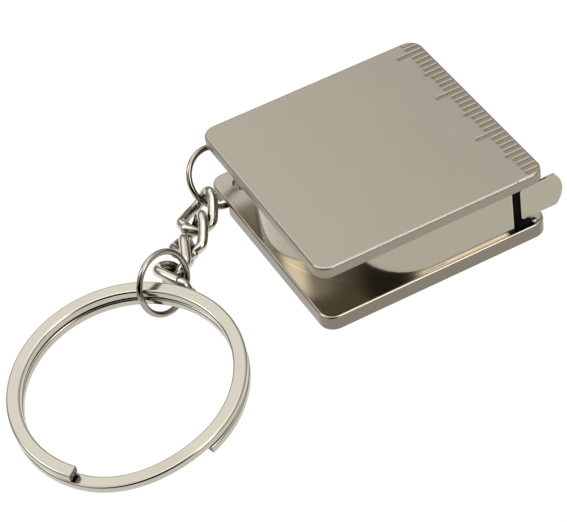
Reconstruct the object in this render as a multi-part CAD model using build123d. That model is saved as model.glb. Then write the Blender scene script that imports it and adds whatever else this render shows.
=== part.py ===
"""Keychain tape measure: a square metal case with a spring-return tape, a short curb chain and a split ring.

Frame: origin at the centre of the bottom plate's underside, +Z up through the plates,
+X along the edge that the tape runs out beside, +Y towards the plate corner that carries the chain.
"""
from build123d import *
import math
import os

# Case
corner_radius = 2.0
bottom_thickness = 2.3
top_thickness = 1.75
plate_gap = 6.65
edge_round = 0.35

# Drum wall between the plates
wall_inset = 0.65
wall_thickness = 0.4
exit_corner = 4.82
right_wall_end = 6.8
tenon_width = 3.0
tenon_height = 0.6
tenon_spacing = 90

# Ruler marks on the top plate
mark_pitch = 1.0
marks_before_zero = 1
marks_after_zero = 29
zero_mark_inset = 2.61
long_mark = 4.05
middle_mark = 2.8
short_mark = 2.3
mark_width = 0.36
mark_depth = 0.15

# Arbor, screw and washers
arbor_radius = 1.5
spigot_radius = 1.0
spigot_height = 0.9
screw_head_radius = 1.9
screw_head_height = 1.1
screw_head_recess = 0.06
screw_radius = 0.8
screw_reach = 3.2
screw_slot_width = 0.5
screw_slot_depth = 0.45
arbor_slit_width = 0.3
arbor_slit_depth = 0.55
washer_radius = 3.2
lower_washer_thickness = 0.65

# Reel
drum_radius = 13.15
drum_wall = 0.75
flange_reach = 0.05
flange_thickness = 0.3
hub_radius = 2.7
hub_height = 1.1
bushing_radius = 2.1
lip_height = 0.45
lip_width = 0.6
anchor_pin_radius = 0.35
reel_clearance = 0.3

# Power spring
spring_thickness = 0.12
spring_inner_radius = 2.1
spring_half_turns = 22
spring_height = 2.9
spring_lift = 0.25

# Tape
blade_width = 4.6
blade_thickness = 0.14
coil_build = 1.75

# End tab
tab_width = 5.0
tab_start = 3.4
tab_length = 5.2
tab_bulge = 1.0
tab_front_thickness = 0.15
tab_back_thickness = 0.12
tab_corner_radius = 0.5
tab_fold_depth = 1.2

# Pins at the exit
guide_post_radius = 0.9
guide_post_inset = 4.4
stud_radius = 0.45
stud_height = 0.4
stud_edge_inset = 0.85
stud_corner_inset = 1.8
pin_seat_depth = 0.6

# Jump rings
jump_wire = 0.8
case_ring_radius = 4.0
key_ring_radius = 4.0
jump_hole_radius = 1.45
jump_hole_inset_x = 3.55
jump_hole_inset_y = 3.35
jump_hole_web = 0.4
jump_notch_width = 3.4
jump_notch_offset = 0.9
jump_notch_inset = 1.45

# Chain links
link_wire = 1.4
link_length = 6.7
link_width = 4.3
link_twist = -70
link_steps = 8

# Split ring
split_radius = 15.0
split_width = 1.8
split_turn_thickness = 1.2
split_turn_gap = 0.3
split_edge_round = 0.2
split_ramp_steps = 10

# Clearances
fit_clearance = 0.03
running_clearance = 0.05
blade_clearance = 0.1
blind_clearance = 0.1
hook_clearance = 0.12
cut_overrun = 1.0

# How the chain lies: headings from +X, lifts above the table and rolls about the length, in degrees
case_ring_heading = 16.6
case_ring_lean = 39.1
case_ring_hole_angle = -45.6
case_ring_hook_angle = -156.6
link_headings = (-129.2, -133, -132.7, -86)
link_lifts = (-2.5, 0.4, 3.6, -8.6)
link_rolls = (25.5, 36.2, 69.8, -60.6)
link_slack_shares = (0.1, 0.5, 0.31, 0.61)
key_ring_normal_heading = -67.9
key_ring_normal_tilt = 73
key_ring_hook_angle = -53.1
key_ring_slack_share = 0.24
split_heading = -133.6
split_offset_share = 0.149
split_drop_share = 0.553
split_tilt_about_x = 4.5
split_tilt_about_y = -7.1
split_upper_end_angle = 216
split_ramp_angle = 70

# Places that follow from the sizes above
coil_radius = drum_radius + coil_build
flange_radius = coil_radius + flange_reach
wall_inner_radius = flange_radius + reel_clearance
wall_outer_radius = wall_inner_radius + wall_thickness
half_side = wall_outer_radius + wall_inset
case_side = 2 * half_side
gap_floor = bottom_thickness
gap_ceiling = gap_floor + plate_gap
case_height = gap_ceiling + top_thickness
reel_floor = gap_floor + lower_washer_thickness + running_clearance
blade_floor = reel_floor + flange_thickness + running_clearance
blade_ceiling = blade_floor + blade_width
flange_floor = blade_ceiling + running_clearance
reel_ceiling = flange_floor + flange_thickness
upper_washer_floor = reel_ceiling + running_clearance
drum_inner_radius = drum_radius - drum_wall
anchor_pin_x = drum_inner_radius - fit_clearance - anchor_pin_radius
spring_outer_radius = anchor_pin_x - anchor_pin_radius - running_clearance - spring_thickness / 2
spring_pitch = 2 * (spring_outer_radius - spring_inner_radius) / spring_half_turns
spring_floor = reel_floor + hub_height + spring_lift
spring_ceiling = spring_floor + spring_height
blade_inner_y = -coil_radius - running_clearance
blade_outer_y = blade_inner_y - blade_thickness
tab_x = half_side - tab_start
tab_middle_z = (blade_floor + blade_ceiling) / 2


def cylinder(radius, bottom, top, x=0, y=0):
    """Upright cylinder between two heights."""
    return Pos(x, y, bottom) * extrude(Circle(radius), top - bottom)


def tube(outer, inner, bottom, top):
    """Upright tube round the case's axis, between two heights."""
    return Pos(0, 0, bottom) * extrude(Circle(outer) - Circle(inner), top - bottom)


def block(low, high):
    """Box between two opposite corners."""
    size = [b - a for a, b in zip(low, high)]
    middle = [(a + b) / 2 for a, b in zip(low, high)]
    return Pos(*middle) * Box(*size)


def plate(bottom, thickness):
    """Square plate with round corners and softened edges."""
    body = Pos(0, 0, bottom) * extrude(RectangleRounded(case_side, case_side, corner_radius), thickness)
    levels = body.edges().group_by(Axis.Z)
    return fillet(levels[0] + levels[-1], edge_round)


def wall_outline(grow):
    """Plan of the drum wall: a ring whose exit quarter is opened into two straight runs."""
    outer = wall_outer_radius + grow
    inner = wall_inner_radius - grow
    front_run = half_side - exit_corner + grow
    right_run = half_side - right_wall_end + grow
    ring = Circle(outer) - Circle(inner) - Pos(outer / 2, -outer / 2) * Rectangle(outer, outer)
    middle = (outer + inner) / 2
    front = Pos(front_run / 2, -middle) * Rectangle(front_run, outer - inner)
    right = Pos(middle, -right_run / 2) * Rectangle(outer - inner, right_run)
    return ring + front + right


def tenon_outlines(grow):
    """Plan of the wall's tenons, one in the middle of each side."""
    strips = Sketch()
    for turn in range(0, 360, tenon_spacing):
        strip = Pos(wall_outer_radius, 0) * Rectangle(4 * wall_thickness, tenon_width + 2 * grow)
        strips += Rot(0, 0, turn) * strip
    return wall_outline(grow) & strips


def housing_wall():
    """Bent strip that closes the case and is tenoned into both plates."""
    wall = Pos(0, 0, gap_floor) * extrude(wall_outline(0), plate_gap)
    tenons = Pos(0, 0, gap_floor - tenon_height) * extrude(tenon_outlines(0), plate_gap + 2 * tenon_height)
    return wall + tenons


def wall_slots():
    """Blind slots for the tenons in both plates."""
    depth = tenon_height + fit_clearance
    return Pos(0, 0, gap_floor - depth) * extrude(tenon_outlines(fit_clearance), plate_gap + 2 * depth)


def jump_hole_centre():
    """Middle of the thin web where the case ring passes through the bottom plate."""
    height = bottom_thickness - jump_hole_web / 2
    return Vector(-half_side + jump_hole_inset_x, half_side - jump_hole_inset_y, height)


def jump_relief():
    """Hole near the chain corner, with the relief under its web that lets the ring pass below."""
    centre = jump_hole_centre()
    hole = cylinder(jump_hole_radius, -cut_overrun, bottom_thickness + cut_overrun, centre.X, centre.Y)
    web_underside = bottom_thickness - jump_hole_web
    inner = centre.X + jump_notch_inset
    middle = centre.Y - jump_notch_offset
    notch = block(
        (-half_side - cut_overrun, middle - jump_notch_width / 2, -cut_overrun),
        (inner, middle + jump_notch_width / 2, web_underside),
    )
    return hole + notch


def screw_shape(grow):
    """Countersunk head and shank, standing on its head."""
    cone = extrude(Circle(screw_head_radius + grow), screw_head_height, taper=45)
    shank = cylinder(screw_radius + grow, screw_head_recess, gap_floor + screw_reach + grow)
    return Pos(0, 0, screw_head_recess) * cone + shank


def guide_post_place():
    """Plan position of the post that the blade runs out beside."""
    y = blade_inner_y + blade_clearance + guide_post_radius
    return half_side - guide_post_inset, y


def pin_seat(radius, x, y, bottom, top):
    """Round seat for a pin."""
    return cylinder(radius + fit_clearance, bottom, top, x, y)


def stud_place():
    """Plan position of the small domed stud under the end tab."""
    return half_side - stud_corner_inset, -half_side + stud_edge_inset


def bottom_plate():
    """Base of the case, with the screw's countersink, the ring's hole and the pins' seats."""
    body = plate(0, bottom_thickness)
    countersink = screw_shape(fit_clearance)
    mouth = cylinder(screw_head_radius + fit_clearance, -cut_overrun, screw_head_recess)
    post_x, post_y = guide_post_place()
    stud_x, stud_y = stud_place()
    seat_floor = gap_floor - pin_seat_depth - fit_clearance
    post_seat = pin_seat(guide_post_radius, post_x, post_y, seat_floor, gap_floor)
    stud_seat = pin_seat(stud_radius, stud_x, stud_y, seat_floor, gap_floor)
    return body - countersink - mouth - jump_relief() - wall_slots() - post_seat - stud_seat


def mark_length(mark):
    """Length of a ruler mark by its number."""
    if mark % 10 == 0:
        return long_mark
    if mark % 5 == 0:
        return middle_mark
    return short_mark


def ruler_marks():
    """Grooves with round inner ends, one for each millimetre, in from the exit side."""
    grooves = []
    for mark in range(-marks_before_zero, marks_after_zero + 1):
        y = half_side - zero_mark_inset - mark * mark_pitch
        inner_x = half_side - mark_length(mark) + mark_width / 2
        low = (inner_x, y - mark_width / 2, case_height - mark_depth)
        high = (half_side + cut_overrun, y + mark_width / 2, case_height + cut_overrun)
        end = cylinder(mark_width / 2, case_height - mark_depth, case_height + cut_overrun, inner_x, y)
        grooves += [block(low, high), end]
    return grooves


def top_plate():
    """Lid of the case, ruled along its exit side."""
    body = plate(gap_ceiling, top_thickness)
    spigot_top = gap_ceiling + spigot_height + blind_clearance
    spigot_seat = pin_seat(spigot_radius, 0, 0, gap_ceiling, spigot_top)
    post_x, post_y = guide_post_place()
    post_top = gap_ceiling + pin_seat_depth + fit_clearance
    post_seat = pin_seat(guide_post_radius, post_x, post_y, gap_ceiling, post_top)
    return body - ruler_marks() - spigot_seat - post_seat - wall_slots()


def arbor():
    """Centre post, spigoted into the lid and tapped for the screw, with a slit for the spring."""
    post = cylinder(arbor_radius, gap_floor, gap_ceiling)
    spigot = cylinder(spigot_radius, gap_ceiling, gap_ceiling + spigot_height)
    bore_top = gap_floor + screw_reach + blind_clearance
    bore = cylinder(screw_radius + fit_clearance, gap_floor, bore_top)
    slit = block(
        (arbor_radius - arbor_slit_depth, -arbor_slit_width / 2, spring_floor),
        (arbor_radius + cut_overrun, arbor_slit_width / 2, spring_ceiling),
    )
    return post + spigot - bore - slit


def centre_screw():
    """Countersunk screw that holds the case together from below."""
    slot = block(
        (-screw_head_radius, -screw_slot_width / 2, screw_head_recess),
        (screw_head_radius, screw_slot_width / 2, screw_head_recess + screw_slot_depth),
    )
    return screw_shape(0) - slot


def lower_washer():
    """Thin washer that the reel turns on."""
    return tube(washer_radius, arbor_radius + running_clearance, gap_floor, gap_floor + lower_washer_thickness)


def upper_washer():
    """Thicker spacer between the reel and the lid."""
    return tube(washer_radius, arbor_radius + running_clearance, upper_washer_floor, gap_ceiling)


def reel_drum():
    """Drum that the tape is wound on, with its lower flange and hub."""
    flange = cylinder(flange_radius, reel_floor, reel_floor + flange_thickness)
    wall = tube(drum_radius, drum_inner_radius, reel_floor, flange_floor)
    hub = cylinder(hub_radius, reel_floor, reel_floor + hub_height)
    bore = cylinder(bushing_radius + fit_clearance, reel_floor, reel_floor + hub_height)
    seat = pin_seat(anchor_pin_radius, anchor_pin_x, 0, reel_floor, reel_floor + flange_thickness)
    return flange + wall + hub - bore - seat


def reel_bushing():
    """Bearing sleeve between the hub and the arbor."""
    return tube(bushing_radius, arbor_radius + running_clearance, reel_floor, reel_floor + hub_height)


def reel_flange():
    """Upper flange of the reel, centred in the drum by a lip."""
    disc = tube(flange_radius, arbor_radius + running_clearance, flange_floor, reel_ceiling)
    lip_outer = drum_inner_radius - fit_clearance
    lip = tube(lip_outer, lip_outer - lip_width, flange_floor - lip_height, flange_floor)
    return disc + lip


def spring_pin():
    """Pin in the drum's floor that anchors the spring's outer end."""
    return cylinder(anchor_pin_radius, reel_floor, spring_ceiling, anchor_pin_x, 0)


def power_spring():
    """Flat strip wound in half turns, each a little wider than the one inside it."""
    strip = Sketch()
    for index in range(spring_half_turns):
        radius = spring_inner_radius + (index + 0.5) * spring_pitch / 2
        side = 1 if index % 2 == 0 else -1
        outer = radius + spring_thickness / 2
        half = Circle(outer) - Circle(radius - spring_thickness / 2)
        half -= Pos(0, -side * outer / 2) * Rectangle(2 * outer, outer)
        strip += Pos(-side * spring_pitch / 4, 0) * half
    return Pos(0, 0, spring_floor) * extrude(strip, spring_height)


def tape_coil():
    """Wound tape, as one solid ring on the drum."""
    return tube(coil_radius, drum_radius + fit_clearance, blade_floor, blade_ceiling)


def tape_blade():
    """Straight stretch of tape from the coil to the end tab."""
    fold = tab_x + tab_length - tab_fold_depth
    return block((0, blade_outer_y, blade_floor), (fold, blade_inner_y, blade_ceiling))


def end_tab():
    """Folded clip on the tape's end, with a bulged outer edge to pull on."""
    corner_x = tab_x + tab_length
    bottom = tab_middle_z - tab_width / 2
    top = tab_middle_z + tab_width / 2
    outline = Polyline((tab_x, top), (tab_x, bottom), (corner_x, bottom))
    outline += ThreePointArc((corner_x, bottom), (corner_x + tab_bulge, tab_middle_z), (corner_x, top))
    outline += Line((corner_x, top), (tab_x, top))
    face = make_face(outline)
    face = fillet(face.vertices().group_by(Axis.X)[0], tab_corner_radius)
    front = blade_outer_y - fit_clearance - tab_front_thickness
    back = blade_inner_y + fit_clearance + tab_back_thickness
    body = Pos(0, back, 0) * extrude(Plane.XZ * face, back - front)
    slot = block(
        (tab_x - cut_overrun, blade_outer_y - fit_clearance, bottom - cut_overrun),
        (corner_x - tab_fold_depth + fit_clearance, blade_inner_y + fit_clearance, top + cut_overrun),
    )
    return body - slot


def guide_post():
    """Fixed post between the plates that keeps the blade off the exit's edge."""
    x, y = guide_post_place()
    return cylinder(guide_post_radius, gap_floor - pin_seat_depth, gap_ceiling + pin_seat_depth, x, y)


def exit_pin():
    """Small domed stud on the bottom plate under the end tab."""
    x, y = stud_place()
    stem = cylinder(stud_radius, gap_floor - pin_seat_depth, gap_floor + stud_height, x, y)
    return fillet(stem.edges().group_by(Axis.Z)[-1], stud_height / 2)


def direction(heading, lift):
    """Unit vector at a heading from +X and a lift above the table."""
    turn = math.radians(heading)
    rise = math.radians(lift)
    return Vector(math.cos(turn) * math.cos(rise), math.sin(turn) * math.cos(rise), math.sin(rise))


def on_ring(plane, radius, angle):
    """Point of a ring's centreline at an angle in the ring's own plane."""
    turn = math.radians(angle)
    return plane.origin + plane.x_dir * (radius * math.cos(turn)) + plane.y_dir * (radius * math.sin(turn))


def ring_plane(point, angle, x_dir, normal, radius):
    """Plane of a ring that passes through a point at an angle."""
    flat = Plane(origin=(0, 0, 0), x_dir=x_dir, z_dir=normal)
    return Plane(origin=point - on_ring(flat, radius, angle), x_dir=x_dir, z_dir=normal)


def case_ring_plane():
    """Plane of the jump ring in the case's hole: it leans back over the plate."""
    along = direction(case_ring_heading, 0)
    upright = direction(case_ring_heading + 90, 90 - case_ring_lean)
    return ring_plane(jump_hole_centre(), case_ring_hole_angle, along, along.cross(upright), case_ring_radius)


def link_plane(hook, index):
    """Plane of a link hooked at a point: x along the link, y across it at its middle."""
    along = direction(link_headings[index], link_lifts[index])
    across = direction(link_headings[index] + 90, 0).rotate(Axis((0, 0, 0), along), link_rolls[index])
    hooked_wire = jump_wire if index == 0 else link_wire
    reach = (hooked_wire + link_wire) / 2 + hook_clearance + link_slack_shares[index] * link_wire
    return Plane(origin=hook - along * reach, x_dir=along, z_dir=along.cross(across))


def link_planes():
    """Planes of the four links, each hooked over the far end of the one before."""
    hook = on_ring(case_ring_plane(), case_ring_radius, case_ring_hook_angle)
    planes = []
    for index in range(len(link_headings)):
        plane = link_plane(hook, index)
        planes.append(plane)
        hook = plane.origin + plane.x_dir * link_length
    return planes


def key_ring_plane():
    """Plane of the jump ring between the last link and the split ring."""
    last = link_planes()[-1]
    reach = (jump_wire + link_wire) / 2 + hook_clearance + key_ring_slack_share * link_wire
    hook = last.origin + last.x_dir * (link_length - reach)
    normal = direction(key_ring_normal_heading, 90 - key_ring_normal_tilt)
    x_dir = Vector(0, 0, 1).cross(normal).normalized()
    return ring_plane(hook, key_ring_hook_angle, x_dir, normal, key_ring_radius)


def split_ring_plane():
    """Plane of the split ring, whose band passes through the jump ring."""
    outward = split_radius + split_offset_share * key_ring_radius
    drop = Vector(0, 0, -split_drop_share * key_ring_radius)
    origin = key_ring_plane().origin + direction(split_heading, 0) * outward + drop
    normal = Vector(0, 0, 1).rotate(Axis.Y, split_tilt_about_y).rotate(Axis.X, split_tilt_about_x)
    return Plane(origin=origin, x_dir=(1, 0, 0), z_dir=normal)


def jump_ring(plane, radius):
    """Closed ring of round wire."""
    return plane.location * Torus(radius, jump_wire / 2)


def link_point(share, side):
    """Point of a link's twisted oval, at a share of the way from its near end to its far end."""
    end_radius = link_width / 2
    quarter = math.pi * end_radius / 2
    straight = link_length - link_width
    travelled = share * (2 * quarter + straight)
    if travelled < quarter:
        turn = travelled / end_radius
        x, y = end_radius * (1 - math.cos(turn)), end_radius * math.sin(turn)
    elif travelled < quarter + straight:
        x, y = end_radius + travelled - quarter, end_radius
    else:
        turn = (travelled - quarter - straight) / end_radius
        x, y = end_radius + straight + end_radius * math.sin(turn), end_radius * math.cos(turn)
    twist = math.radians(link_twist) * (x / link_length - 1 / 2)
    return Vector(x, side * y * math.cos(twist), side * y * math.sin(twist))


def link_strand(side):
    """One side of a link, from end to end."""
    points = [link_point(step / link_steps, side) for step in range(link_steps + 1)]
    twist = math.radians(link_twist) / 2
    tangents = [(0, side * math.cos(twist), -side * math.sin(twist))]
    tangents.append((0, -side * math.cos(twist), -side * math.sin(twist)))
    path = Spline(*points, tangents=tangents)
    section = Plane(origin=path @ 0, z_dir=path % 0) * Circle(link_wire / 2)
    return sweep(section, path=path)


def chain_link(plane):
    """Twisted curb link of round wire."""
    return plane.location * (link_strand(1) + link_strand(-1))


def band_section(angle, height):
    """Section of the split ring's wire at an angle and a height."""
    turn = math.radians(angle)
    radius = split_radius - split_width / 2
    outward = (math.cos(turn), math.sin(turn), 0)
    along = (-math.sin(turn), math.cos(turn), 0)
    origin = (radius * outward[0], radius * outward[1], height)
    section = RectangleRounded(split_width, split_turn_thickness, split_edge_round)
    return Plane(origin=origin, x_dir=outward, z_dir=along) * section


def band_turn(start, sweep_angle, height):
    """Level stretch of the split ring's wire."""
    return revolve(band_section(start, height), Axis.Z, sweep_angle)


def split_ring():
    """Two turns of flat wire in one piece: the upper turn steps down to the lower one under its own end."""
    pitch = split_turn_thickness + split_turn_gap
    upper = pitch / 2
    turn = 360 - split_ramp_angle
    start = split_upper_end_angle - turn
    ramp_start = start - split_ramp_angle
    sections = []
    for step in range(split_ramp_steps + 1):
        share = step / split_ramp_steps
        height = -upper + pitch * (1 - math.cos(math.pi * share)) / 2
        sections.append(band_section(ramp_start + share * split_ramp_angle, height))
    ramp = loft(sections, ruled=True)
    ring = band_turn(start, turn, upper) + ramp + band_turn(ramp_start - turn, turn, -upper)
    return split_ring_plane().location * ring


def chain_nodes():
    """The rings and links with their names."""
    nodes = {"case_jump_ring": jump_ring(case_ring_plane(), case_ring_radius)}
    for index, plane in enumerate(link_planes()):
        nodes[f"chain_link_{index + 1}"] = chain_link(plane)
    nodes["key_jump_ring"] = jump_ring(key_ring_plane(), key_ring_radius)
    nodes["split_ring"] = split_ring()
    return nodes


def case_nodes():
    """The case, the reel and the tape with their names."""
    makers = (
        bottom_plate, top_plate, housing_wall, arbor, centre_screw, lower_washer, upper_washer,
        reel_drum, reel_bushing, reel_flange, spring_pin, power_spring, tape_coil, tape_blade,
        end_tab, guide_post, exit_pin,
    )
    return {maker.__name__: maker() for maker in makers}


def main():
    os.makedirs("parts", exist_ok=True)
    for name, solid in {**case_nodes(), **chain_nodes()}.items():
        export_step(solid, f"parts/{name}.step")


if __name__ == "__main__":
    main()
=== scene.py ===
"""Keychain tape measure: looks, floor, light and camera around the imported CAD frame.

Positions are in metres. Lengths and angles among the constants are in millimetres and degrees,
unless MM stands beside them.
"""

import math

import bmesh
import bpy
from mathutils import Matrix, Vector


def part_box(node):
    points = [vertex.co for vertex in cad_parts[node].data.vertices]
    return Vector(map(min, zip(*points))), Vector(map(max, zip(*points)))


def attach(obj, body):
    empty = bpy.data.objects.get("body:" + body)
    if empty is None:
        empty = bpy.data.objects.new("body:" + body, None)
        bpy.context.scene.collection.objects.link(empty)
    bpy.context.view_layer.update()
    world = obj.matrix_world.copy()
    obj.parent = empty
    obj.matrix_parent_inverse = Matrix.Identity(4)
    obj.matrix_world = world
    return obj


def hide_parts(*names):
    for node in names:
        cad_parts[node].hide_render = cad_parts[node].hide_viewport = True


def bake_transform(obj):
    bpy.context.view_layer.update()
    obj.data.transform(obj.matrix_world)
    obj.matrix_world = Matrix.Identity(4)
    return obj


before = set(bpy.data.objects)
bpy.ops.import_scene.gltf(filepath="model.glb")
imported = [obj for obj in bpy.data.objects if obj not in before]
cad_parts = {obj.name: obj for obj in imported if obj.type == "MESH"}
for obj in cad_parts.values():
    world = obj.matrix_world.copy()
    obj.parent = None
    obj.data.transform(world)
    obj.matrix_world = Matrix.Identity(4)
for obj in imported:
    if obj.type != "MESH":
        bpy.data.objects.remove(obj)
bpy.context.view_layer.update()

MM = 0.001

# Camera, at the photograph's viewing angle
CAMERA_PLACE = (-102.23 * MM, -216.73 * MM, 217.04 * MM)
CAMERA_TURN = (46.648, 6.487, -28.232)
CAMERA_LENS = 157.105
CAMERA_SENSOR = 36.0
CAMERA_CLIP_START = 10 * MM

# Tones, as linear colour
NICKEL_SATIN = (0.41, 0.370, 0.304)
# Worn tone of the satin plates' edges: wear and a painted highlight
NICKEL_SATIN_WORN_AND_HIGHLIGHT = (0.58, 0.55, 0.47)
NICKEL_WALL = (0.39, 0.357, 0.285)
NICKEL_TAB = (0.405, 0.375, 0.30)
# Worn tone of the other metals' edges: wear and a painted highlight
NICKEL_BRIGHT = (0.74, 0.71, 0.64)
NICKEL_WIRE = (0.62, 0.585, 0.50)
# Darker copy of the wire's nickel for the jump rings: painted shade
NICKEL_RING_SHADED = (0.36, 0.33, 0.28)
NICKEL_BAND = (0.49, 0.464, 0.39)
# Dark tone of painted shade, in crevices and on the plates' sides
PAINTED_SHADE_TONE = (0.09, 0.075, 0.05)
STEEL_TONE = (0.55, 0.54, 0.52)
BRASS_TONE = (0.70, 0.50, 0.22)
SPRING_TONE = (0.30, 0.31, 0.34)
SPRING_TEMPER = (0.36, 0.27, 0.20)
NYLON_TONE = (0.035, 0.034, 0.032)
# Black of the tape, also painted as shade in the tape's mouth
TAPE_AND_SHADE_BLACK = (0.004, 0.0036, 0.0032)
TAPE_BLACK_DULL = (0.007, 0.006, 0.005)
TAPE_PRINT = (0.62, 0.60, 0.53)

# Plated metals: cells per millimetre of their clouds, grain and hairline scratches. The
# scratches are turned by radians
METAL_CLOUD = 0.16
METAL_SPECK = 9.0
HAIR_SCALE = 1.6
HAIR_STRETCH = (0.35, 9.0, 0.35)
HAIR_TURN = (0.3, 0.2, 0.6)
HAIR_LIMITS = (0.66, 0.74)
# How far the clouds move tone and roughness, as a share, and what grain and scratches add
TONE_DRIFT = 0.015
ROUGHNESS_DRIFT = 0.05
SPECK_ROUGHNESS = 0.12
SCRATCH_ROUGHNESS = 0.03
# Polishing lines are this many times deeper than the grain
LINE_DEPTH = 3.0
# Edges brightened by wear and a painted highlight: their width, and the agreement of soft and
# sharp normals from edge to open face
EDGE_WIDTH = 0.25
EDGE_LIMITS = (0.80, 0.995)
EDGE_SAMPLES = 6
CREVICE_SAMPLES = 8

# Reach of the painted shade in crevices, and the open share from its deepest to none
CHAIN_CREVICE_SHADE = (2.4, 0.40, 1.0)
BAND_CREVICE_SHADE = (0.7, 0.25, 0.85)

# The plated finishes, by the name of their slot. lines is the stretch of polishing lines
METALS = {
    "satin_plate": {
        "name": "satin_nickel",
        "tone": NICKEL_SATIN,
        "worn_and_highlight_tone": NICKEL_SATIN_WORN_AND_HIGHLIGHT,
        "roughness": 0.34,
        "grain": 0.0009,
        "wear_and_highlight": 0.25,
        "plate": True,
    },
    "bright_wall": {
        "name": "wall_nickel",
        "tone": NICKEL_WALL,
        "worn_and_highlight_tone": NICKEL_BRIGHT,
        "roughness": 0.13,
        "lines": (0.08, 0.08, 7.0),
        "wear_and_highlight": 0.8,
    },
    "plated_tab": {
        "name": "tab_nickel",
        "tone": NICKEL_TAB,
        "worn_and_highlight_tone": NICKEL_BRIGHT,
        "roughness": 0.26,
    },
    "bright_wire": {
        "name": "wire_nickel",
        "tone": NICKEL_WIRE,
        "worn_and_highlight_tone": NICKEL_BRIGHT,
        "roughness": 0.10,
        "grain": 0.0005,
        "crevice_shade": CHAIN_CREVICE_SHADE,
    },
    "bright_band": {
        "name": "band_nickel",
        "tone": NICKEL_BAND,
        "worn_and_highlight_tone": NICKEL_BRIGHT,
        "roughness": 0.13,
        "grain": 0.0005,
        "crevice_shade": BAND_CREVICE_SHADE,
    },
}

# The jump rings share a slot with the links, but get a darker copy of its nickel as painted
# shade
JUMP_RINGS = ("case_jump_ring", "key_jump_ring")
JUMP_RING_METAL = {
    "name": "ring_nickel_shaded",
    "tone": NICKEL_RING_SHADED,
    "worn_and_highlight_tone": NICKEL_WIRE,
    "roughness": 0.10,
    "grain": 0.0005,
    "crevice_shade": CHAIN_CREVICE_SHADE,
}

# Ruler marks: place of one of them along Y, and where each length ends in X, by pitch
MARK_ZERO = 13.69
MARK_ENDS = ((1.0, 14.18), (5.0, 13.68), (10.0, 12.43))
# Metal rolled in beside them: from the mark outward, its depth, and the height of the lid
MARK_ROLL = (0.15, 0.46)
MARK_SINK = 0.055
MARKS_ABOVE = 9.0

# Height below which the plates are polished, and the roughness there
POLISHED_BELOW = 7.0
POLISHED_ROUGHNESS = 0.20

# Painted shade on the plates' sides, from the first height to the second
SIDE_SHADE_HEIGHTS = (2.0, 10.0)
SIDE_SHADE = (0.60, 0.38)
# How far up or down a surface faces, from a side to a face
SIDE_LIMITS = (0.15, 0.6)

# The tape's mouth on the bottom plate, painted black as shade under the tab: soft limits in X,
# its near side in Y, its heights, and how far up the surface faces
MOUTH_FROM = (10.2, 10.8)
MOUTH_TO = (14.9, 14.3)
MOUTH_SIDE = (-8.0, -9.5)
MOUTH_HEIGHTS = (1.0, 4.5)
MOUTH_FACING = 0.9

# Printed marks on the tape: pitch and length of each kind, their width and their upper end
PRINT_MARKS = ((1.0, 1.3), (5.0, 1.9), (10.0, 2.6))
PRINT_WIDTH = 0.16
PRINT_TOP = 7.95

# Turned metal: width and share of its edges brightened by wear and a painted highlight, and
# its darker and brighter tones
TURNED_EDGE = 0.1
TURNED_WEAR_AND_HIGHLIGHT = 0.4
TURNED_DARKER = 0.85
TURNED_BRIGHTER = 1.3

NYLON_LIGHTER = 1.6

# The blade's straight run: its mesh, and where it becomes bare under the tab
BLADE_STEPS = 480
BLADE_ROWS = 8
BARE_FROM = 11.2

# Split ring: the band's section, its path of two turns with a ramp between, and its lie
BAND_RADIUS = 14.1
BAND_WIDTH = 1.8
BAND_THICKNESS = 1.2
BAND_ROUND = 0.34
BAND_PITCH = 1.5
BAND_TURN = 290
BAND_RAMP = 70
BAND_UPPER_END = 216
BAND_TILT = (4.5, -7.1)
BAND_STEP = 2
BAND_ROUND_STEPS = 6
BAND_END_CHAMFER = 0.08

# Floor. The case is held above it, so that the chain can hang below the case
FLOOR_DROP = 75 * MM
FLOOR_HALF = 1500 * MM
FLOOR_TONE = (0.50, 0.50, 0.498)
FLOOR_DARKER = 0.985
FLOOR_GLOW = 0.50
FLOOR_GLOW_TONE = (1, 1, 0.997)

# Studio dome: radiance by the height of the direction's end, 0 at the horizon and 1 overhead
DOME = ((0.00, 0.16), (0.14, 0.20), (0.30, 0.34), (0.50, 0.48), (0.72, 0.58), (1.00, 0.62))
DOME_TONE = (1.0, 0.995, 0.985)
# Bright panels on it, and last a black card in front: azimuth, elevation, inner and outer
# radius, radiance
PANELS = (
    (0, 90, 12, 34, 1.3),
    (92, 42, 12, 30, 0.80),
    (150, 43, 5, 16, 3.4),
    (-66, 42, 5, 15, 3.8),
    (-40, 50, 10, 32, 0.4),
    (10, 50, 16, 40, 0.3),
    (180, 55, 14, 36, 0.5),
    (-128, 38, 26, 36, -0.52),
)


def feed(tree, socket, value):
    """Gives an input a value or another node's socket."""
    if isinstance(value, bpy.types.NodeSocket):
        tree.links.new(value, socket)
    else:
        socket.default_value = value


def node(tree, kind, inputs=None, **settings):
    """A new node of that kind, with its settings and its inputs."""
    made = tree.nodes.new(kind)
    for key, value in settings.items():
        setattr(made, key, value)
    for key, value in (inputs or {}).items():
        feed(tree, made.inputs[key], value)
    return made


def axes(tree, vector):
    """The X, Y and Z of a vector."""
    outputs = node(tree, "ShaderNodeSeparateXYZ", {"Vector": vector}).outputs
    return outputs["X"], outputs["Y"], outputs["Z"]


def place(tree, stretch=(1, 1, 1), turn=(0, 0, 0)):
    """Object coordinates in millimetres, stretched and turned."""
    coordinates = node(tree, "ShaderNodeTexCoord").outputs["Object"]
    scale = [value / MM for value in stretch]
    inputs = {"Vector": coordinates, "Rotation": turn, "Scale": scale}
    return node(tree, "ShaderNodeMapping", inputs).outputs["Vector"]


def sharp_normal(tree):
    return node(tree, "ShaderNodeNewGeometry").outputs["Normal"]


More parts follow.
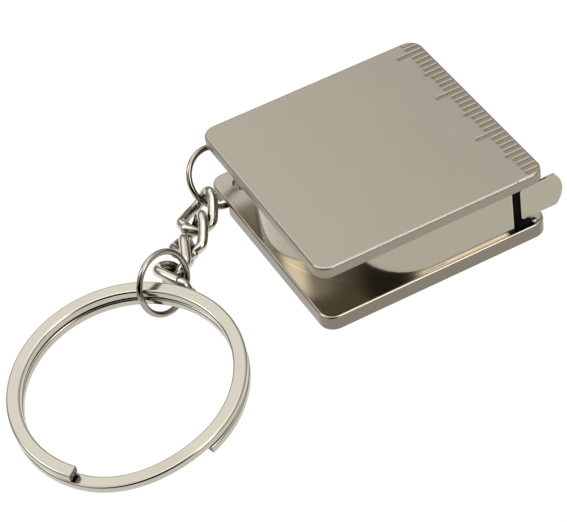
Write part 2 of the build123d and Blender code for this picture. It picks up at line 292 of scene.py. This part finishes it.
def noise(tree, per_mm, detail, stretch=(1, 1, 1), turn=(0, 0, 0), roughness=0.5):
    """Noise of that many cells per millimetre, on stretched and turned coordinates."""
    inputs = {
        "Vector": place(tree, stretch, turn),
        "Scale": per_mm,
        "Detail": detail,
        "Roughness": roughness,
    }
    return node(tree, "ShaderNodeTexNoise", inputs).outputs["Fac"]


def spread(tree, value, low, high, source_low=0.3, source_high=0.7, curve="LINEAR"):
    """value, moved from its source range into low to high."""
    inputs = {
        "Value": value,
        "From Min": source_low,
        "From Max": source_high,
        "To Min": low,
        "To Max": high,
    }
    made = node(tree, "ShaderNodeMapRange", inputs, interpolation_type=curve)
    return made.outputs["Result"]


def calculate(tree, operation, first, second=0.0, third=0.0):
    inputs = {0: first, 1: second, 2: third}
    return node(tree, "ShaderNodeMath", inputs, operation=operation).outputs["Value"]


def combine(tree, operation, values):
    """The values, joined one after the other by that operation."""
    joined = values[0]
    for value in values[1:]:
        joined = calculate(tree, operation, joined, value)
    return joined


def agreement(tree, first, second):
    """The dot product of two directions."""
    inputs = {0: first, 1: second}
    made = node(tree, "ShaderNodeVectorMath", inputs, operation="DOT_PRODUCT")
    return made.outputs["Value"]


def mix_tone(tree, share, first, second):
    """The colour between first and second at that share, each a colour or a socket."""
    made = node(tree, "ShaderNodeMix", data_type="RGBA")
    sockets = {socket.identifier: socket for socket in made.inputs}
    feed(tree, sockets["Factor_Float"], share)
    for key, tone in (("A_Color", first), ("B_Color", second)):
        is_socket = isinstance(tone, bpy.types.NodeSocket)
        feed(tree, sockets[key], tone if is_socket else (*tone, 1))
    return next(socket for socket in made.outputs if socket.identifier == "Result_Color")


def shaded(tone, factor):
    return tuple(min(value * factor, 1.0) for value in tone)


def bump(tree, height, depth, normal=None):
    """Relief of that height map, depth in millimetres, over the relief before it."""
    inputs = {"Height": height, "Distance": depth * MM}
    if normal is not None:
        inputs["Normal"] = normal
    return node(tree, "ShaderNodeBump", inputs).outputs["Normal"]


def new_material(name, build):
    """A material whose shader inputs are what build makes in its node tree."""
    made = bpy.data.materials.new(name)
    made.use_nodes = True
    shader = made.node_tree.nodes["Principled BSDF"]
    for key, value in build(made.node_tree).items():
        feed(made.node_tree, shader.inputs[key], value)
    return made


def worn_and_highlight_edge_share(tree, width):
    """1 on edges sharper than width millimetres, 0 on open faces: the share of wear and
    painted highlight on edges.
    """
    soft = node(tree, "ShaderNodeBevel", {"Radius": width * MM}, samples=EDGE_SAMPLES)
    facing = agreement(tree, soft.outputs["Normal"], sharp_normal(tree))
    return spread(tree, facing, 1.0, 0.0, *EDGE_LIMITS)


def crevice_shade_share(tree, reach, low, high):
    """1 in crevices narrower than reach millimetres, 0 in the open: the share of painted
    shade.
    """
    inputs = {"Distance": reach * MM}
    crevice = node(tree, "ShaderNodeAmbientOcclusion", inputs, samples=CREVICE_SAMPLES)
    return spread(tree, crevice.outputs["AO"], 1.0, 0.0, low, high)


def mark_relief(tree):
    """Height, from 0 to 1, of the rolled metal beside the ruler's pressed marks."""
    x, y, z = axes(tree, place(tree))
    from_zero = calculate(tree, "SUBTRACT", y, MARK_ZERO)
    squares = []
    for pitch, end in MARK_ENDS:
        across = calculate(tree, "PINGPONG", from_zero, pitch / 2)
        beyond = calculate(tree, "MAXIMUM", calculate(tree, "SUBTRACT", end, x), 0.0)
        squared = calculate(tree, "MULTIPLY", across, across)
        squares.append(calculate(tree, "MULTIPLY_ADD", beyond, beyond, squared))
    distance = calculate(tree, "SQRT", combine(tree, "MINIMUM", squares))
    elsewhere = calculate(tree, "LESS_THAN", z, MARKS_ABOVE)
    return spread(tree, calculate(tree, "MAXIMUM", distance, elsewhere), 0.0, 1.0, *MARK_ROLL)


def side_shade_share(tree):
    """Painted shade on a plate's sides, more near the bottom, and 0 on its faces."""
    up = axes(tree, sharp_normal(tree))[2]
    side = spread(tree, calculate(tree, "ABSOLUTE", up), 1.0, 0.0, *SIDE_LIMITS)
    height = axes(tree, place(tree))[2]
    return calculate(tree, "MULTIPLY", side, spread(tree, height, *SIDE_SHADE, *SIDE_SHADE_HEIGHTS))


def mouth_shade_share(tree):
    """1 on the bottom plate's face in the tape's mouth, where black shade is painted under the
    tab.
    """
    x, y, z = axes(tree, place(tree))
    up = axes(tree, sharp_normal(tree))[2]
    low, high = MOUTH_HEIGHTS
    shares = [
        spread(tree, x, 0.0, 1.0, *MOUTH_FROM),
        spread(tree, x, 0.0, 1.0, *MOUTH_TO),
        spread(tree, y, 0.0, 1.0, *MOUTH_SIDE),
        calculate(tree, "GREATER_THAN", up, MOUTH_FACING),
        calculate(tree, "GREATER_THAN", z, low),
        calculate(tree, "LESS_THAN", z, high),
    ]
    return combine(tree, "MULTIPLY", shares)


def metal_tone(tree, cloud, tone, worn_and_highlight_tone, wear_and_highlight, crevice_shade, plate):
    """A drifting tone, bright on edges from wear and a painted highlight, with painted shade
    in crevices, and on a plate painted shade on its sides and black painted shade in the
    tape's mouth.
    """
    drift = spread(tree, cloud, 0.0, 1.0)
    darker, lighter = shaded(tone, 1 - TONE_DRIFT), shaded(tone, 1 + TONE_DRIFT)
    face = mix_tone(tree, drift, darker, lighter)
    # Edges brightened by wear and a painted highlight
    edge = calculate(tree, "MULTIPLY", worn_and_highlight_edge_share(tree, EDGE_WIDTH), wear_and_highlight)
    face = mix_tone(tree, edge, face, worn_and_highlight_tone)
    if crevice_shade is not None:
        # Painted shade in crevices
        face = mix_tone(tree, crevice_shade_share(tree, *crevice_shade), face, PAINTED_SHADE_TONE)
    if plate:
        # Painted shade on the plates' sides, more near the bottom
        face = mix_tone(tree, side_shade_share(tree), face, PAINTED_SHADE_TONE)
        # Painted black shade in the tape's mouth under the tab
        face = mix_tone(tree, mouth_shade_share(tree), face, TAPE_AND_SHADE_BLACK)
    return face


def metal_roughness(tree, cloud, speck, scratch, roughness, plate):
    """Cloudy roughness with grain and scratches. A plate is polished inside."""
    lowest, highest = roughness * (1 - ROUGHNESS_DRIFT), roughness * (1 + ROUGHNESS_DRIFT)
    rough = spread(tree, cloud, lowest, highest)
    grainy = spread(tree, speck, -0.5, 0.5)
    rough = calculate(tree, "MULTIPLY_ADD", grainy, roughness * SPECK_ROUGHNESS, rough)
    rough = calculate(tree, "MULTIPLY_ADD", scratch, SCRATCH_ROUGHNESS, rough)
    if plate:
        height = axes(tree, place(tree))[2]
        inside = calculate(tree, "LESS_THAN", height, POLISHED_BELOW)
        rough = calculate(tree, "MULTIPLY_ADD", inside, POLISHED_ROUGHNESS - roughness, rough)
    return rough


def metal_relief(tree, speck, scratch, grain, lines, plate):
    """Grain, polishing lines and scratches, and the rolled metal beside the ruler's marks."""
    relief = bump(tree, speck, grain)
    if lines is not None:
        streak = noise(tree, 1.0, detail=5.0, stretch=lines, roughness=0.65)
        relief = bump(tree, streak, grain * LINE_DEPTH, relief)
    relief = bump(tree, calculate(tree, "SUBTRACT", 1.0, scratch), grain, relief)
    if plate:
        relief = bump(tree, mark_relief(tree), MARK_SINK, relief)
    return relief


def metal(
    name,
    tone,
    worn_and_highlight_tone,
    roughness,
    grain=0.0006,
    wear_and_highlight=0.35,
    lines=None,
    crevice_shade=None,
    plate=False,
):
    """A plated metal. grain is the depth of its relief; how bright wear and a painted
    highlight make its edges is set next; lines is the stretch of its polishing lines; the
    reach and limits of painted shade in crevices come after; and plate is True for the two
    pressed and sheared plates, which also get painted shade on their sides and in the tape's
    mouth."""

    def build(tree):
        cloud = noise(tree, METAL_CLOUD, detail=3.0)
        speck = noise(tree, METAL_SPECK, detail=2.0)
        hair = noise(tree, HAIR_SCALE, detail=4.0, stretch=HAIR_STRETCH, turn=HAIR_TURN)
        scratch = spread(tree, hair, 0.0, 1.0, *HAIR_LIMITS)
        return {
            "Base Color": metal_tone(tree, cloud, tone, worn_and_highlight_tone, wear_and_highlight, crevice_shade, plate),
            "Roughness": metal_roughness(tree, cloud, speck, scratch, roughness, plate),
            "Normal": metal_relief(tree, speck, scratch, grain, lines, plate),
            "Metallic": 1.0,
        }

    return new_material(name, build)


def turned_metal(name, tone):
    """Metal turned on a lathe, with rings of tool marks about the reel's axis."""

    def build(tree):
        cloud = noise(tree, 0.5, detail=3.0)
        inputs = {"Vector": place(tree), "Scale": 4.0, "Distortion": 0.6, "Detail": 2.0}
        rings = node(
            tree, "ShaderNodeTexWave", inputs, wave_type="RINGS", rings_direction="Z"
        ).outputs["Fac"]
        face = mix_tone(tree, spread(tree, cloud, 0.0, 1.0), shaded(tone, TURNED_DARKER), tone)
        # Edges brightened by wear and a painted highlight
        edge = calculate(tree, "MULTIPLY", worn_and_highlight_edge_share(tree, TURNED_EDGE), TURNED_WEAR_AND_HIGHLIGHT)
        return {
            "Base Color": mix_tone(tree, edge, face, shaded(tone, TURNED_BRIGHTER)),
            "Roughness": spread(tree, cloud, 0.18, 0.32),
            "Normal": bump(tree, rings, 0.0015),
            "Metallic": 1.0,
        }

    return new_material(name, build)


def tempered_spring(tree):
    """Blued spring strip: straw and grey clouds of temper colour, rolled smooth."""
    cloud = noise(tree, 0.25, detail=4.0)
    rolled = noise(tree, 1.0, detail=3.0, stretch=(6.0, 6.0, 0.3))
    return {
        "Base Color": mix_tone(
            tree, spread(tree, cloud, 0.0, 1.0), SPRING_TONE, SPRING_TEMPER
        ),
        "Roughness": spread(tree, rolled, 0.22, 0.36),
        "Normal": bump(tree, rolled, 0.002),
        "Metallic": 1.0,
    }


def moulded_nylon(tree):
    """Black nylon with a fine spark-eroded texture."""
    share = spread(tree, noise(tree, 0.3, detail=3.0), 0.0, 1.0)
    speck = noise(tree, 12.0, detail=3.0)
    return {
        "Base Color": mix_tone(tree, share, NYLON_TONE, shaded(NYLON_TONE, NYLON_LIGHTER)),
        "Roughness": spread(tree, speck, 0.38, 0.58),
        "Normal": bump(tree, speck, 0.012),
        "Metallic": 0.0,
    }


def print_share(tree):
    """1 on the printed millimetre marks, and 0 between them and where the tape is bare."""
    x, _, z = axes(tree, place(tree))
    marks = []
    for pitch, length in PRINT_MARKS:
        phase = calculate(tree, "PINGPONG", x, pitch / 2)
        line = calculate(tree, "LESS_THAN", phase, PRINT_WIDTH / 2)
        above_end = calculate(tree, "GREATER_THAN", z, PRINT_TOP - length)
        marks.append(calculate(tree, "MULTIPLY", line, above_end))
    bare = node(tree, "ShaderNodeAttribute", attribute_name="bare").outputs["Fac"]
    covered = calculate(tree, "SUBTRACT", 1.0, bare)
    return calculate(tree, "MULTIPLY", combine(tree, "MAXIMUM", marks), covered)


def tape_lacquer(name, printed):
    """Black lacquered tape. Where printed, it carries pale marks, longer at 5 and at 10."""

    def build(tree):
        share = spread(tree, noise(tree, 0.4, detail=3.0), 0.0, 1.0)
        speck = noise(tree, 14.0, detail=2.0)
        tone = mix_tone(tree, share, TAPE_AND_SHADE_BLACK, TAPE_BLACK_DULL)
        if printed:
            tone = mix_tone(tree, print_share(tree), tone, TAPE_PRINT)
        return {
            "Base Color": tone,
            "Roughness": spread(tree, speck, 0.46, 0.58),
            "Normal": bump(tree, speck, 0.001),
            "Specular IOR Level": 0.02,
        }

    return new_material(name, build)


def floor_paper(tree):
    """Pale paper with a glow of its own, so that it stays white under the part."""
    share = spread(tree, noise(tree, 0.05, detail=4.0), 0.0, 1.0)
    return {
        "Base Color": mix_tone(tree, share, shaded(FLOOR_TONE, FLOOR_DARKER), FLOOR_TONE),
        "Roughness": 0.9,
        "Specular IOR Level": 0.1,
        "Emission Color": (*FLOOR_GLOW_TONE, 1),
        "Emission Strength": FLOOR_GLOW,
    }


def slot_finishes():
    """The finish of each slot in the CAD."""
    finishes = {slot: metal(**look) for slot, look in METALS.items()}
    finishes["steel"] = turned_metal("turned_steel", STEEL_TONE)
    finishes["brass"] = turned_metal("brass", BRASS_TONE)
    finishes["spring_steel"] = new_material("blued_spring", tempered_spring)
    finishes["reel_plastic"] = new_material("black_nylon", moulded_nylon)
    finishes["tape_paint"] = tape_lacquer("tape_lacquer", printed=False)
    return finishes


def dress(finishes, jump_ring_finish):
    """Gives every CAD node the finish of its slot, and the jump rings their own."""
    for name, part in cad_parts.items():
        for socket in part.material_slots:
            finish = finishes[socket.material.name.split(".")[0]]
            socket.material = jump_ring_finish if name in JUMP_RINGS else finish


def add_piece(name, mesh, finish):
    mesh.materials.append(finish)
    piece = bpy.data.objects.new(name, mesh)
    bpy.context.scene.collection.objects.link(piece)
    return piece


def blade_mesh(low, high):
    """The straight run as a closed strip, in short steps along X and rows up Z."""
    rows = range(BLADE_ROWS + 1)
    heights = [low.z + (high.z - low.z) * row / BLADE_ROWS for row in rows]
    outline = [(low.y, z) for z in heights] + [(high.y, z) for z in reversed(heights)]
    shape = bmesh.new()
    columns = []
    for step in range(BLADE_STEPS + 1):
        x = low.x + (high.x - low.x) * step / BLADE_STEPS
        columns.append([shape.verts.new((x, y, z)) for y, z in outline])
    for before, after in zip(columns, columns[1:]):
        for k in range(len(outline)):
            following = (k + 1) % len(outline)
            corners = (before[k], before[following], after[following], after[k])
            shape.faces.new(corners)
    shape.faces.new(columns[0])
    shape.faces.new(list(reversed(columns[-1])))
    bmesh.ops.recalc_face_normals(shape, faces=shape.faces)
    mesh = bpy.data.meshes.new("tape_blade_fine")
    shape.to_mesh(mesh)
    shape.free()
    return mesh


def blade_piece(finish):
    """The straight run of tape, in short steps, bare of print from where it passes under the
    tab.
    """
    low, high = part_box("tape_blade")
    mesh = blade_mesh(low, high)
    bare = mesh.attributes.new("bare", "FLOAT", "POINT")
    for vertex, value in zip(mesh.vertices, bare.data):
        value.value = 1.0 if vertex.co.x > BARE_FROM * MM else 0.0
    piece = add_piece("tape_blade_fine", mesh, finish)
    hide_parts("tape_blade")
    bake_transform(piece)


def band_section(inset):
    """Outline of the band as (outward, up, normal outward, normal up), drawn in by inset."""
    reach = BAND_ROUND - inset
    points = []
    for quarter, (sign_out, sign_up) in enumerate(((1, 1), (-1, 1), (-1, -1), (1, -1))):
        corner_out = sign_out * (BAND_WIDTH / 2 - BAND_ROUND)
        corner_up = sign_up * (BAND_THICKNESS / 2 - BAND_ROUND)
        for step in range(BAND_ROUND_STEPS + 1):
            turn = math.radians(90 * (quarter + step / BAND_ROUND_STEPS))
            out, up = math.cos(turn), math.sin(turn)
            points.append((corner_out + reach * out, corner_up + reach * up, out, up))
    return points


def band_height(angle):
    """Height and slope, per degree, of the band's middle at an angle along its path."""
    share = (angle - (BAND_UPPER_END - BAND_TURN - BAND_RAMP)) / BAND_RAMP
    if share <= 0 or share >= 1:
        return math.copysign(BAND_PITCH / 2, share - 0.5), 0.0
    height = -BAND_PITCH / 2 * math.cos(math.pi * share)
    return height, BAND_PITCH / 2 * math.pi * math.sin(math.pi * share) / BAND_RAMP


def band_stations():
    """Angle and inset of each section along the path, which is drawn in at both ends."""
    first = BAND_UPPER_END - 2 * BAND_TURN - BAND_RAMP
    chamfer = math.degrees(BAND_END_CHAMFER / BAND_RADIUS)
    angles = range(first + BAND_STEP, BAND_UPPER_END, BAND_STEP)
    return [
        (first, BAND_END_CHAMFER),
        (first + chamfer, 0.0),
        *((angle, 0.0) for angle in angles),
        (BAND_UPPER_END - chamfer, 0.0),
        (BAND_UPPER_END, BAND_END_CHAMFER),
    ]


def band_directions():
    """The tilted ring's side, fore and up."""
    tilt_x, tilt_y = (math.radians(value) for value in BAND_TILT)
    tilt = Matrix.Rotation(tilt_x, 3, "X") @ Matrix.Rotation(tilt_y, 3, "Y")
    up = tilt @ Vector((0, 0, 1))
    side = (Vector((1, 0, 0)) - up * up.x).normalized()
    return side, up.cross(side), up


def band_surface():
    """Points and normals of the band's sections, about the ring's middle."""
    side, fore, up = band_directions()
    points, normals = [], []
    for angle, inset in band_stations():
        turn = math.radians(angle)
        outward = side * math.cos(turn) + fore * math.sin(turn)
        along = fore * math.cos(turn) - side * math.sin(turn)
        height, slope = band_height(angle)
        for out, rise, normal_out, normal_up in band_section(inset):
            distance = BAND_RADIUS + out
            lean = normal_up * math.degrees(slope) / distance
            points.append((outward * distance + up * (height + rise)) * MM)
            normal = outward * normal_out + up * normal_up - along * lean
            normals.append(normal.normalized())
    return points, normals


def band_faces(total, count):
    """Sides between neighbouring sections of count points, and the faces of the two ends."""
    sides = []
    for here in range(0, total - count, count):
        there = here + count
        for n in range(count):
            following = (n + 1) % count
            sides.append((here + n, there + n, there + following, here + following))
    return sides, [tuple(range(count)), tuple(reversed(range(total - count, total)))]


def centred(points, low, high):
    """The points, moved so that their box has its middle where the box low to high has it."""
    spans = [[point[k] for point in points] for k in range(3)]
    middle = Vector([(min(span) + max(span)) / 2 for span in spans])
    shift = (Vector(low) + Vector(high)) / 2 - middle
    return [point + shift for point in points]


def split_ring_piece(finish):
    """The split ring's flat wire, with rolled edges along both turns and the ramp between."""
    points, normals = band_surface()
    sides, ends = band_faces(len(points), len(band_section(0.0)))
    mesh = bpy.data.meshes.new("split_ring_fine")
    mesh.from_pydata(centred(points, *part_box("split_ring")), [], sides + ends)
    smooth = [True] * len(sides) + [False] * len(ends)
    mesh.polygons.foreach_set("use_smooth", smooth)
    mesh.normals_split_custom_set_from_vertices(normals)
    piece = add_piece("split_ring_fine", mesh, finish)
    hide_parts("split_ring")
    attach(piece, "key_ring")


def floor():
    mesh = bpy.data.meshes.new("floor")
    signs = ((-1, -1), (1, -1), (1, 1), (-1, 1))
    corners = [(FLOOR_HALF * x, FLOOR_HALF * y, -FLOOR_DROP) for x, y in signs]
    mesh.from_pydata(corners, [], [(0, 1, 2, 3)])
    piece = add_piece("floor", mesh, new_material("floor_paper", floor_paper))


def panel(tree, direction, azimuth, elevation, inner, outer, strength):
    """Radiance of a round panel of the dome, soft from its inner to its outer radius."""
    turn, rise = math.radians(azimuth), math.radians(elevation)
    axis = (math.cos(turn) * math.cos(rise), math.sin(turn) * math.cos(rise), math.sin(rise))
    rim, core = math.cos(math.radians(outer)), math.cos(math.radians(inner))
    facing = agreement(tree, direction, axis)
    return spread(tree, facing, 0.0, strength, rim, core, curve="SMOOTHSTEP")


def studio():
    """A light tent, dark near the horizon, with soft panels overhead, in front and behind."""
    world = bpy.data.worlds.new("studio")
    world.use_nodes = True
    tree = world.node_tree
    direction = node(tree, "ShaderNodeTexCoord").outputs["Generated"]
    ramp = node(tree, "ShaderNodeValToRGB", {"Fac": axes(tree, direction)[2]})
    band = ramp.color_ramp
    while len(band.elements) < len(DOME):
        band.elements.new(0.5)
    for element, (position, value) in zip(band.elements, DOME):
        element.position = position
        element.color = (value, value, value, 1)
    panels = [panel(tree, direction, *values) for values in PANELS]
    radiance = combine(tree, "ADD", [ramp.outputs["Color"], *panels])
    background = tree.nodes["Background"]
    feed(tree, background.inputs["Color"], (*DOME_TONE, 1))
    feed(tree, background.inputs["Strength"], radiance)
    bpy.context.scene.world = world


def camera():
    view = bpy.data.cameras.new("camera")
    view.lens = CAMERA_LENS
    view.sensor_width = CAMERA_SENSOR
    view.clip_start = CAMERA_CLIP_START
    piece = bpy.data.objects.new("camera", view)
    piece.location = CAMERA_PLACE
    piece.rotation_euler = [math.radians(value) for value in CAMERA_TURN]
    bpy.context.scene.collection.objects.link(piece)
    bpy.context.scene.camera = piece


camera()
finishes = slot_finishes()
dress(finishes, metal(**JUMP_RING_METAL))
blade_piece(tape_lacquer("tape_printed", printed=True))
split_ring_piece(finishes["bright_band"])
floor()
studio()
bpy.context.scene.view_settings.view_transform = "Standard"
